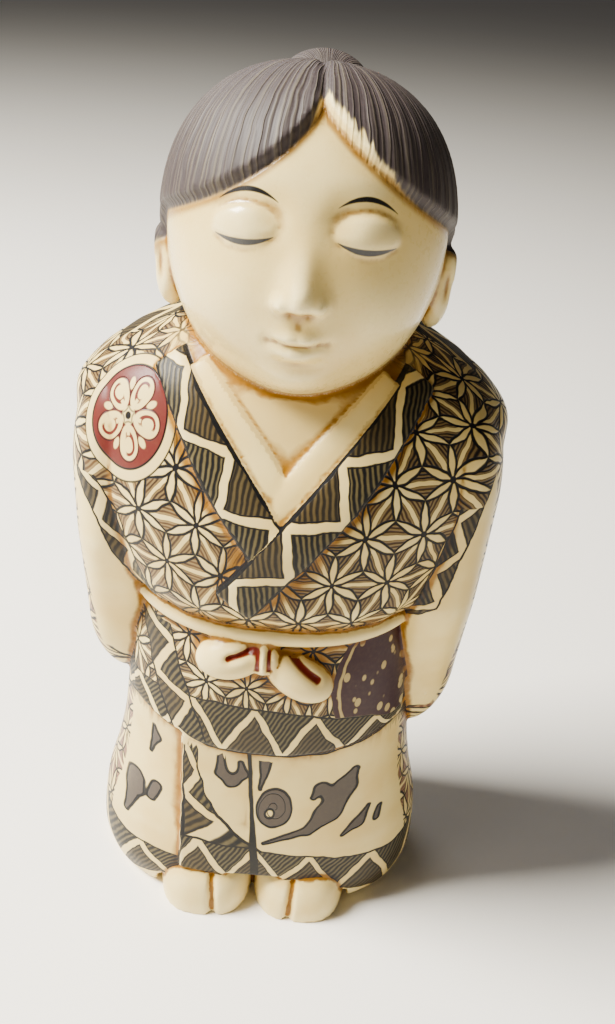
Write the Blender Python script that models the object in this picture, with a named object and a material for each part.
"""A small standing figurine of a lady in a kimono, carved as one piece.

World axes in metres: +Z up, the figure faces -Y, the image's right is +X.
The origin is the middle of the standing face. Every size is a share of the
figure's height, counted in the carver's unit U.
"""
from math import asin, cos, exp, pi, radians, sin

import bmesh
import bpy
from mathutils import Matrix, Vector

HEIGHT = 0.052
U = HEIGHT / 52.0

# Gown, all in units: height, half width, front depth, back depth
GOWN_POWER = 2.25
GOWN_SIDES = 48
GOWN_ROWS = 26
CORD_HEIGHT = 23.2
WAIST_FLARE = 3.2
BOW_DROP = 1.7
GOWN_STATIONS = (
    (0.0, 9.9, 6.5, 7.0),
    (0.7, 10.5, 6.9, 7.5),
    (2.6, 10.9, 7.2, 7.8),
    (5.5, 10.7, 7.2, 7.7),
    (8.5, 10.0, 7.0, 7.4),
    (12.0, 9.4, 6.9, 7.2),
    (16.0, 9.1, 7.1, 7.3),
    (CORD_HEIGHT - WAIST_FLARE, 8.7, 7.3, 7.3),
    (CORD_HEIGHT + 0.1, 8.3, 7.1, 7.1),
    (CORD_HEIGHT + 1.3, 9.2, 8.2, 7.4),
    (CORD_HEIGHT + 2.8, 10.0, 8.8, 7.7),
    (29.5, 11.3, 8.8, 7.9),
    (32.5, 12.0, 8.2, 7.6),
    (34.6, 12.0, 7.4, 7.0),
    (36.4, 10.8, 6.6, 6.3),
    (38.0, 8.4, 5.6, 5.6),
    (39.4, 5.8, 4.2, 4.4),
)

# Sleeves hang beside the gown; the wearer's left one is the longer
SLEEVE_POWER = 2.5
SLEEVE_SIDES = 20
SLEEVE_ROWS = 13
SLEEVE_TOP = 36.6
SLEEVE_SHOULDER = 30.5
SLEEVE_RIGHT_END = 15.2
SLEEVE_LEFT_END = 12.6
SLEEVE_OUTER = 12.25
SLEEVE_INNER = 6.4
# How far the front reaches, by the height above the sleeve's own end
SLEEVE_REACH = (
    (0.0, 2.4),
    (3.0, 2.9),
    (6.0, 3.7),
    (9.0, 4.8),
    (12.3, 5.8),
    (25.0, 6.0),
)
SLEEVE_BACK = 4.6
SLEEVE_SLANT = 0.75
SLEEVE_ROUNDING = 0.2

# Dress edges that stand proud of the gown
PANEL_LIFT = 0.34
COLLAR_LIFT = 0.55
COLLAR_WIDTH = 2.4
COLLAR_SIDE = 7.1
COLLAR_TOP = 39.2
COLLAR_FALL = 13.2
COLLAR_SWEEP = 10.9
COLLAR_BULGE = 0.5
COLLAR_STEEP = 0.9
COLLAR_NARROW = 0.36
INNER_COLLAR_LIFT = 0.34
INNER_COLLAR_SHOWS = 1.45
INNER_COLLAR_TUCK = 0.5
PATCH_ROOT = 0.8
APRON_LOW = 14.2
APRON_RISE = 1.7
OVERLAP_SIDE = -4.9
OVERLAP_WIDTH = 5.2
OVERLAP_LOW = 3.5
OVERLAP_TUCK = 1.2
CORD_RADIUS = 0.6
CORD_LIFT = 0.14
CORD_RISE = 0.4
CORD_STEPS = 45
CORD_SIDES = 6

# Bow of the cord: knot, two loops
BOW_HEIGHT = CORD_HEIGHT - BOW_DROP
BOW_SHIFT = -0.4
BOW_THICK = 1.3
BOW_LIFT = 0.05
KNOT_SIZE = 0.95
LOOP_LENGTH = 1.95
LOOP_WIDTH = 1.35
LOOP_DROOP = 32.0

# Feet in split-toed socks, under an arch in the hem
FOOT_SHIFT = 3.15
FOOT_HALF_WIDTH = 3.08
FOOT_PLAN_POWER = 2.9
FOOT_TOE = 7.85
FOOT_MIDDLE = 3.6
FOOT_RISE = 3.9
FOOT_POWER = 3.6
ARCH_HALF_WIDTH = 6.5
ARCH_RISE = 3.3
ARCH_WALL = 3.6
TOE_SPLIT_SHIFT = 2.5
TOE_SPLIT_WIDTH = 0.28
TOE_SPLIT_DEPTH = 0.5

# Head, hair, ears and bun; heights on the head are from its own centre
HEAD_CENTRE = (0.0, -1.2, 44.0)
HEAD_TILT = 14.0
HEAD_HALF_WIDTH = 7.0
HEAD_FRONT = 7.1
HEAD_BACK = 7.3
HEAD_ABOVE = 7.5
HEAD_BELOW = 8.2
HEAD_POWER = 2.3
CHIN_TAPER = 0.14
HEAD_SIDES = 40
HEAD_ROWS = 20
HAIR_LIFT = 0.42
HAIR_ROOT = 0.9
HAIR_CORE = 0.4
HAIR_ROWS = 9
PART_TURN = 3.0
HAIRLINE_PEAK = 44.0
HAIRLINE_SIDE = 3.0
HAIRLINE_EASE = (21.0, 26.0)
HAIRLINE_NAPE = -38.0
HAIRLINE_FALL_FROM = 78.0
HAIRLINE_FALL_TO = 140.0
EAR_HALF = (0.9, 1.25, 2.15)
EAR_TURN = 98.0
EAR_HEIGHT = -2.1
EAR_SINK = -0.4
BUN_HALF = (2.4, 2.2, 1.8)
BUN_PLACE = (0.2, 4.0, 50.2)

# Features of the plain doll face: half sizes, side, height, how deep they sit
NOSE = ((0.7, 0.85, 1.2), 0.0, -2.3, 0.3)
LIDS = ((1.35, 0.6, 0.75), 2.7, 0.0, 0.35)
LIPS = ((1.25, 0.7, 0.5), 0.0, -4.9, 0.25)
CHIN = ((1.6, 1.0, 0.95), 0.0, -6.4, 0.55)

IVORY_COLOUR = (0.80, 0.70, 0.50, 1.0)
IVORY_ROUGHNESS = 0.28


def clear_scene() -> None:
    """Remove everything the new file came with."""
    for thing in list(bpy.data.objects):
        bpy.data.objects.remove(thing, do_unlink=True)


def blend(rows: tuple, height: float) -> list[float]:
    """Read a station table at one height, along smooth monotone curves.

    Args:
        rows: Stations in rising height, the height first.
        height: Height wanted, in units.

    Returns:
        The station's other values at that height.
    """
    last = len(rows) - 1
    height = min(max(height, rows[0][0]), rows[last][0])
    index = 0
    while index < last - 1 and rows[index + 1][0] < height:
        index += 1
    low, high = rows[index], rows[index + 1]
    span = high[0] - low[0]
    share = (height - low[0]) / span
    values = []
    for column in range(1, len(low)):
        slope_low = slope_at(rows, index, column) * span
        slope_high = slope_at(rows, index + 1, column) * span
        cube, square = share ** 3, share ** 2
        values.append(
            (2 * cube - 3 * square + 1) * low[column]
            + (cube - 2 * square + share) * slope_low
            + (3 * square - 2 * cube) * high[column]
            + (cube - square) * slope_high
        )
    return values


def slope_at(rows: tuple, index: int, column: int) -> float:
    """Slope of one column at a station, flat where the column turns."""
    if index == 0 or index == len(rows) - 1:
        near = max(index, 1)
        return (rows[near][column] - rows[near - 1][column]) / (rows[near][0] - rows[near - 1][0])
    before = (rows[index][column] - rows[index - 1][column]) / (rows[index][0] - rows[index - 1][0])
    after = (rows[index + 1][column] - rows[index][column]) / (rows[index + 1][0] - rows[index][0])
    if before * after <= 0.0:
        return 0.0
    return 2.0 * before * after / (before + after)


def bent(value: float, power: float) -> float:
    """Sine or cosine bent to a superellipse of the given power."""
    size = abs(value) ** (2.0 / power)
    return size if value >= 0.0 else -size


def eased(share: float) -> float:
    """Ease from 0 to 1 while the share goes from 0 to 1."""
    share = min(max(share, 0.0), 1.0)
    return share * share * (3.0 - 2.0 * share)


def gown_point(turn: float, height: float) -> Vector:
    """Point of the gown's skin at a turn from the front, in units."""
    half, front, back = blend(GOWN_STATIONS, height)
    side = half * bent(sin(turn), GOWN_POWER)
    facing = bent(cos(turn), GOWN_POWER)
    depth = -front * facing if facing >= 0.0 else -back * facing
    return Vector((side, depth, height))


def gown_lifted(turn: float, height: float, lift: float) -> Vector:
    """Gown point moved out along the skin's level direction, in units."""
    point = gown_point(turn, height)
    ahead = gown_point(turn + 0.02, height)
    behind = gown_point(turn - 0.02, height)
    along = ahead - behind
    outward = Vector((along.y, -along.x, 0.0))
    if outward.dot(Vector((point.x, point.y, 0.0))) < 0.0:
        outward = -outward
    return point + outward.normalized() * lift


def turn_at(side: float, height: float) -> float:
    """Turn from the front at which the gown is the given way to the side."""
    half = blend(GOWN_STATIONS, height)[0]
    share = min(abs(side) / half, 0.999) ** (GOWN_POWER / 2.0)
    low, high = 0.0, pi / 2.0
    for _ in range(40):
        middle = 0.5 * (low + high)
        if sin(middle) < share:
            low = middle
        else:
            high = middle
    return low if side >= 0.0 else -low


def new_object(name: str, mesh_builder: bmesh.types.BMesh) -> bpy.types.Object:
    """Turn a bmesh in units into an object in metres."""
    bmesh.ops.scale(mesh_builder, vec=(U, U, U), verts=mesh_builder.verts)
    bmesh.ops.recalc_face_normals(mesh_builder, faces=mesh_builder.faces)
    for face in mesh_builder.faces:
        face.smooth = True
    mesh = bpy.data.meshes.new(name)
    mesh_builder.to_mesh(mesh)
    mesh_builder.free()
    return bpy.data.objects.new(name, mesh)


def skin_rings(name: str, rings: list[list[Vector]]) -> bpy.types.Object:
    """Loft closed rings into a capped solid, bottom ring first."""
    builder = bmesh.new()
    made = [[builder.verts.new(point) for point in ring] for ring in rings]
    count = len(rings[0])
    for lower, upper in zip(made, made[1:]):
        for step in range(count):
            after = (step + 1) % count
            builder.faces.new((lower[step], lower[after], upper[after], upper[step]))
    builder.faces.new(made[0])
    builder.faces.new(made[-1])
    return new_object(name, builder)


def ellipsoid(name: str, place: tuple, half: tuple, roll: float = 0.0,
              sides: int = 14, rows: int = 8) -> bpy.types.Object:
    """Round lump at a place, rolled about the depth axis by degrees."""
    builder = bmesh.new()
    bmesh.ops.create_uvsphere(builder, u_segments=sides, v_segments=rows, radius=1.0)
    bmesh.ops.scale(builder, vec=half, verts=builder.verts)
    turn = Matrix.Rotation(radians(roll), 3, "Y")
    bmesh.ops.rotate(builder, cent=(0.0, 0.0, 0.0), matrix=turn, verts=builder.verts)
    bmesh.ops.translate(builder, vec=place, verts=builder.verts)
    return new_object(name, builder)


def make_gown() -> bpy.types.Object:
    """Body of the gown from the standing face up to the neck."""
    heights = gown_heights()
    rings = []
    for height in heights:
        rings.append([
            gown_point(2.0 * pi * step / GOWN_SIDES, height) for step in range(GOWN_SIDES)
        ])
    return skin_rings("kimono_lady", rings)


def gown_heights() -> list[float]:
    """Ring heights, even ones plus every station of the table."""
    top = GOWN_STATIONS[-1][0]
    heights = {round(row[0], 3) for row in GOWN_STATIONS}
    for step in range(GOWN_ROWS + 1):
        height = top * step / GOWN_ROWS
        if all(abs(height - other) > 0.55 for other in heights):
            heights.add(round(height, 3))
    return sorted(heights)


def dome(share: float) -> float:
    """Fullness of a rounded end, from almost nothing to one."""
    return max((1.0 - (1.0 - min(share, 1.0)) ** 2.3) ** (1.0 / 2.3), 0.12)


def make_sleeve(name: str, side: float, end: float) -> bpy.types.Object:
    """Hanging sleeve on one side, rounded at both of its ends."""
    rings = []
    drop = SLEEVE_TOP - end
    for row in range(SLEEVE_ROWS + 1):
        share = 0.5 - 0.5 * cos(pi * row / SLEEVE_ROWS)
        height = end + drop * share
        below = dome(share / SLEEVE_ROUNDING)
        above = dome((SLEEVE_TOP - height) / (SLEEVE_TOP - SLEEVE_SHOULDER))
        lean = SLEEVE_SLANT * (1.0 - share)
        outer = (SLEEVE_OUTER - lean) * (0.8 + 0.2 * above)
        inner = SLEEVE_INNER + lean * 0.6
        middle = 0.5 * (outer + inner)
        half = 0.5 * (outer - inner) * below
        forward = blend(SLEEVE_REACH, height - end)[0]
        ring = []
        for step in range(SLEEVE_SIDES):
            turn = 2.0 * pi * step / SLEEVE_SIDES
            across = middle + half * bent(cos(turn), SLEEVE_POWER)
            facing = bent(sin(turn), SLEEVE_POWER)
            reach = forward if facing < 0.0 else SLEEVE_BACK
            depth = reach * facing * (0.35 + 0.65 * below) * (0.45 + 0.55 * above)
            ring.append(Vector((side * across, depth, height)))
        rings.append(ring)
    return skin_rings(name, rings)


def make_patch(name: str, corner, columns: int, rows: int, lift) -> bpy.types.Object:
    """Closed layer of cloth lying on the gown.

    Args:
        name: Name of the new object.
        corner: Gives (side, height) in units for two shares in 0 to 1.
        columns: Steps across the patch.
        rows: Steps down the patch.
        lift: Gives how far the cloth stands proud for the same shares.

    Returns:
        The layer, rooted inside the gown.
    """
    builder = bmesh.new()
    outer, root = [], []
    for row in range(rows + 1):
        outer_row, root_row = [], []
        for column in range(columns + 1):
            across, down = column / columns, row / rows
            side, height = corner(across, down)
            turn = turn_at(side, height)
            outer_row.append(builder.verts.new(gown_lifted(turn, height, lift(across, down))))
            root_row.append(builder.verts.new(gown_lifted(turn, height, -PATCH_ROOT)))
        outer.append(outer_row)
        root.append(root_row)
    for row in range(rows):
        for column in range(columns):
            for grid in (outer, root):
                builder.faces.new((
                    grid[row][column], grid[row][column + 1],
                    grid[row + 1][column + 1], grid[row + 1][column],
                ))
    for row in range(rows):
        for column in (0, columns):
            builder.faces.new((
                outer[row][column], outer[row + 1][column],
                root[row + 1][column], root[row][column],
            ))
    for column in range(columns):
        for row in (0, rows):
            builder.faces.new((
                outer[row][column], outer[row][column + 1],
                root[row][column + 1], root[row][column],
            ))
    return new_object(name, builder)


def collar_line(share: float) -> tuple[float, float]:
    """Inner edge of the top collar from the neck's side to the cord."""
    side = COLLAR_SIDE - COLLAR_SWEEP * share - COLLAR_STEEP * (1.0 - share) ** 3
    height = COLLAR_TOP - COLLAR_FALL * share + COLLAR_BULGE * sin(pi * share)
    return side, height


def collar_band(side_sign: float, width: float, start: float, stop: float, inset: float):
    """Band along the collar line, as a corner function for a patch."""
    def corner(across: float, down: float) -> tuple[float, float]:
        share = start + (stop - start) * down
        side, height = collar_line(share)
        near, near_height = collar_line(share + 0.01)
        along = Vector((near - side, near_height - height)).normalized()
        narrow = COLLAR_NARROW * (1.0 - eased(share / 0.5))
        reach = (inset + width * across) * (1.0 - narrow)
        side += -along.y * reach
        height += along.x * reach
        return side_sign * side, height
    return corner


def ridge(height: float):
    """Lift of a band, a little rounded at both of its edges."""
    def lift(across: float, _down: float) -> float:
        return height * (0.72 + 0.28 * sin(pi * across))
    return lift


def make_collars() -> list[bpy.types.Object]:
    """Two broad outer collars and two plain inner ones tucked under them."""
    inner_width = INNER_COLLAR_SHOWS + INNER_COLLAR_TUCK
    return [
        make_patch("collar_under", collar_band(-1.0, COLLAR_WIDTH, 0.06, 0.70, 0.0), 4, 14,
                   ridge(COLLAR_LIFT * 0.8)),
        make_patch("collar_over", collar_band(1.0, COLLAR_WIDTH, 0.06, 0.94, 0.0), 4, 18,
                   ridge(COLLAR_LIFT)),
        make_patch("inner_under",
                   collar_band(-1.0, inner_width, 0.12, 0.60, -INNER_COLLAR_SHOWS), 3, 12,
                   ridge(INNER_COLLAR_LIFT * 0.75)),
        make_patch("inner_over",
                   collar_band(1.0, inner_width, 0.12, 0.66, -INNER_COLLAR_SHOWS), 3, 12,
                   ridge(INNER_COLLAR_LIFT)),
    ]


def apron_corner(across: float, down: float) -> tuple[float, float]:
    """Lower half of the jacket in front, its edge drooping to the middle."""
    half = blend(GOWN_STATIONS, CORD_HEIGHT - WAIST_FLARE)[0]
    side = half * 0.93 * (2.0 * across - 1.0)
    lower = APRON_LOW + APRON_RISE * (2.0 * across - 1.0) ** 2
    return side, CORD_HEIGHT + (lower - CORD_HEIGHT) * down


def skirt_corner(across: float, down: float) -> tuple[float, float]:
    """Front overlap of the skirt, from its edge across to the right."""
    side = OVERLAP_SIDE + OVERLAP_WIDTH * across
    top = APRON_LOW + OVERLAP_TUCK
    return side, top + (OVERLAP_LOW - top) * down


def make_layers() -> list[bpy.types.Object]:
    """Jacket hem and skirt overlap in front."""
    return [
        make_patch("apron", apron_corner, 20, 5,
                   lambda across, down: PANEL_LIFT * (0.35 + 0.65 * down)),
        make_patch("skirt_overlap", skirt_corner, 5, 8,
                   lambda across, down: PANEL_LIFT * (1.0 - 1.25 * across)),
    ]


def make_cord() -> bpy.types.Object:
    """Round cord tied about the waist."""
    builder = bmesh.new()
    loops = []
    for step in range(CORD_STEPS):
        turn = 2.0 * pi * (step + 0.4) / CORD_STEPS
        height = CORD_HEIGHT + CORD_RISE * (1.0 - abs(cos(turn)))
        middle = gown_lifted(turn, CORD_HEIGHT, CORD_LIFT)
        outward = (gown_lifted(turn, CORD_HEIGHT, 1.0) - gown_point(turn, CORD_HEIGHT)).normalized()
        loop = []
        for side in range(CORD_SIDES):
            swing = 2.0 * pi * side / CORD_SIDES
            offset = outward * cos(swing) + Vector((0.0, 0.0, sin(swing)))
            point = Vector((middle.x, middle.y, height)) + offset * CORD_RADIUS
            loop.append(builder.verts.new(point))
        loops.append(loop)
    for step in range(CORD_STEPS):
        here, after = loops[step], loops[(step + 1) % CORD_STEPS]
        for side in range(CORD_SIDES):
            up = (side + 1) % CORD_SIDES
            builder.faces.new((here[side], after[side], after[up], here[up]))
    return new_object("cord", builder)


def make_bow() -> list[bpy.types.Object]:
    """Knot and two loops of the cord in front."""
    front = -gown_point(0.0, BOW_HEIGHT).y
    depth = -(front + BOW_LIFT)
    droop = radians(LOOP_DROOP)
    right_middle = LOOP_LENGTH * 1.15
    return [
        ellipsoid("knot", (BOW_SHIFT, depth, BOW_HEIGHT + 0.3),
                  (KNOT_SIZE, BOW_THICK, KNOT_SIZE * 1.15)),
        ellipsoid("loop_right", (BOW_SHIFT - LOOP_LENGTH * 0.98, depth, BOW_HEIGHT),
                  (LOOP_LENGTH, BOW_THICK, LOOP_WIDTH), -8.0),
        ellipsoid("loop_left",
                  (BOW_SHIFT + right_middle * cos(droop) + 0.2, depth,
                   BOW_HEIGHT - right_middle * sin(droop) + 0.2),
                  (LOOP_LENGTH * 1.12, BOW_THICK, LOOP_WIDTH), LOOP_DROOP),
    ]


def make_foot(name: str, side: float) -> bpy.types.Object:
    """One foot in its sock, blunt at the toe and flat underneath."""
    rings = []
    length = FOOT_TOE - FOOT_MIDDLE
    rows = 9
    for row in range(rows + 1):
        share = row / rows
        height = FOOT_RISE * sin(0.5 * pi * share) * 0.985
        shrink = (1.0 - (height / FOOT_RISE) ** FOOT_POWER) ** (1.0 / FOOT_POWER)
        ring = []
        for step in range(20):
            turn = 2.0 * pi * step / 20
            across = FOOT_HALF_WIDTH * shrink * bent(cos(turn), FOOT_PLAN_POWER)
            along = length * shrink * bent(sin(turn), FOOT_PLAN_POWER)
            ring.append(Vector((side * FOOT_SHIFT + across, along - FOOT_MIDDLE, height)))
        rings.append(ring)
    return skin_rings(name, rings)


def make_arch() -> bpy.types.Object:
    """Cutter for the opening in the hem that the feet show through."""
    rings = []
    for depth in (-12.0, -ARCH_WALL):
        ring = []
        for step in range(24):
            turn = 2.0 * pi * step / 24
            ring.append(Vector((
                ARCH_HALF_WIDTH * bent(cos(turn), 2.6), depth, ARCH_RISE * bent(sin(turn), 2.6),
            )))
        rings.append(ring)
    return skin_rings("arch_cutter", rings)


def make_toe_split(name: str, side: float) -> bpy.types.Object:
    """Cutter for the split between the big toe and the others."""
    return ellipsoid(name, (side * TOE_SPLIT_SHIFT, -FOOT_TOE, 1.2),
                     (TOE_SPLIT_WIDTH, TOE_SPLIT_DEPTH, FOOT_RISE), 0.0, 10, 8)


def head_point(turn: float, rise: float, lift: float) -> Vector:
    """Point of the head seen from its centre, turn from the front."""
    level = bent(cos(rise), HEAD_POWER)
    up = bent(sin(rise), HEAD_POWER)
    height = (HEAD_ABOVE if up > 0.0 else HEAD_BELOW) + lift
    narrow = 1.0 - CHIN_TAPER * max(-up, 0.0) ** 1.5
    facing = cos(turn)
    reach = (HEAD_FRONT if facing > 0.0 else HEAD_BACK) + lift
    upright = Vector((
        (HEAD_HALF_WIDTH + lift) * level * sin(turn) * narrow,
        -reach * level * facing,
        height * up,
    ))
    return Vector(HEAD_CENTRE) + Matrix.Rotation(radians(-HEAD_TILT), 3, "X") @ upright


def rise_at(height: float) -> float:
    """Rise on the head at a height from its centre, in units."""
    share = height / (HEAD_ABOVE if height > 0.0 else HEAD_BELOW)
    return asin(bent(share, 4.0 / HEAD_POWER))


def face_point(side: float, height: float, lift: float) -> Vector:
    """Point of the head's front at a way to the side and a height."""
    rise = rise_at(height)
    low, high = 0.0, pi / 2.0
    for _ in range(40):
        middle = 0.5 * (low + high)
        if head_point(middle, rise, 0.0).x < abs(side):
            low = middle
        else:
            high = middle
    return head_point(low if side >= 0.0 else -low, rise, lift)


def hairline(turn: float) -> float:
    """Rise of the hair's edge at a turn from the front, in radians."""
    away = turn / pi * 180.0 - PART_TURN
    ease = HAIRLINE_EASE[0] if away < 0.0 else HAIRLINE_EASE[1]
    edge = HAIRLINE_SIDE + (HAIRLINE_PEAK - HAIRLINE_SIDE) * exp(-abs(away) / ease)
    fall = (abs(away) - HAIRLINE_FALL_FROM) / (HAIRLINE_FALL_TO - HAIRLINE_FALL_FROM)
    fall = min(max(fall, 0.0), 1.0)
    eased = fall * fall * (3.0 - 2.0 * fall)
    return radians(edge + (HAIRLINE_NAPE - edge) * eased)


def make_head() -> bpy.types.Object:
    """Head without its hair."""
    rings = []
    for row in range(HEAD_ROWS + 1):
        rise = pi * (row / HEAD_ROWS - 0.5) * 0.96
        rings.append([
            head_point(2.0 * pi * step / HEAD_SIDES, rise, 0.0) for step in range(HEAD_SIDES)
        ])
    return skin_rings("head", rings)


def make_hair() -> bpy.types.Object:
    """Cap of hair whose edge follows the hairline."""
    rings = []
    turns = [2.0 * pi * (step + 0.5) / HEAD_SIDES - pi for step in range(HEAD_SIDES)]
    edges = [hairline(turn) for turn in turns]
    root = [head_point(turn, edge, -HAIR_ROOT) for turn, edge in zip(turns, edges)]
    middle = Vector(HEAD_CENTRE)
    rings.append([middle + (point - middle) * HAIR_CORE for point in root])
    rings.append(root)
    for row in range(HAIR_ROWS + 1):
        share = row / HAIR_ROWS * 0.94
        lift = HAIR_LIFT * (0.75 if row == 0 else 1.0)
        rings.append([
            head_point(turn, edge + (pi / 2.0 - edge) * share, lift)
            for turn, edge in zip(turns, edges)
        ])
    return skin_rings("hair", rings)


def make_features() -> list[bpy.types.Object]:
    """Ears, bun and the plain features of the face."""
    things = [ellipsoid("bun", BUN_PLACE, BUN_HALF, 0.0, 18, 10)]
    for name, (half, side, height, sink) in (("nose", NOSE), ("lips", LIPS), ("chin", CHIN)):
        things.append(ellipsoid(name, face_point(side, height, -sink), half, 0.0, 12, 8))
    for word, sign in (("right", -1.0), ("left", 1.0)):
        place = head_point(sign * radians(EAR_TURN), rise_at(EAR_HEIGHT), -EAR_SINK)
        things.append(ellipsoid("ear_" + word, place, EAR_HALF, sign * 8.0, 12, 8))
        half, side, height, sink = LIDS
        place = face_point(sign * side, height, -sink)
        things.append(ellipsoid("lid_" + word, place, half, 0.0, 12, 8))
    return things


def make_material() -> bpy.types.Material:
    """Polished warm ivory-white of the whole carving."""
    material = bpy.data.materials.new("polished ivory white")
    material.use_nodes = True
    shader = next(node for node in material.node_tree.nodes if node.type == "BSDF_PRINCIPLED")
    shader.inputs["Base Color"].default_value = IVORY_COLOUR
    shader.inputs["Roughness"].default_value = IVORY_ROUGHNESS
    material.diffuse_color = IVORY_COLOUR
    return material


def new_collection(name: str) -> bpy.types.Collection:
    """Empty collection linked into the scene."""
    collection = bpy.data.collections.new(name)
    bpy.context.scene.collection.children.link(collection)
    return collection


def add_step(body: bpy.types.Object, operation: str, tools: list[bpy.types.Object],
             kept: bpy.types.Collection) -> None:
    """Add one Boolean step with all of its tools to the body."""
    group = bpy.data.collections.new(operation.lower() + " tools")
    kept.children.link(group)
    for tool in tools:
        group.objects.link(tool)
        tool.hide_render = True
        tool.display_type = "WIRE"
    step = body.modifiers.new(group.name, "BOOLEAN")
    step.operation = operation
    step.solver = "EXACT"
    step.operand_type = "COLLECTION"
    step.collection = group


def main() -> None:
    """Build the figurine as one solid."""
    clear_scene()
    parts = new_collection("kimono lady figurine")
    kept = new_collection("carving tools")
    kept.hide_render = True
    body = make_gown()
    body.data.materials.append(make_material())
    parts.objects.link(body)
    sides = ((-1.0, "right", SLEEVE_RIGHT_END), (1.0, "left", SLEEVE_LEFT_END))
    added = make_layers() + make_collars() + [make_cord()] + make_bow()
    added += [make_head(), make_hair()] + make_features()
    for side, word, end in sides:
        added.append(make_sleeve("sleeve_" + word, side, end))
        added.append(make_foot("foot_" + word, side))
    splits = [make_toe_split("toe_split_" + word, side) for side, word, _ in sides]
    add_step(body, "DIFFERENCE", [make_arch()], kept)
    add_step(body, "UNION", added, kept)
    add_step(body, "DIFFERENCE", splits, kept)


main()
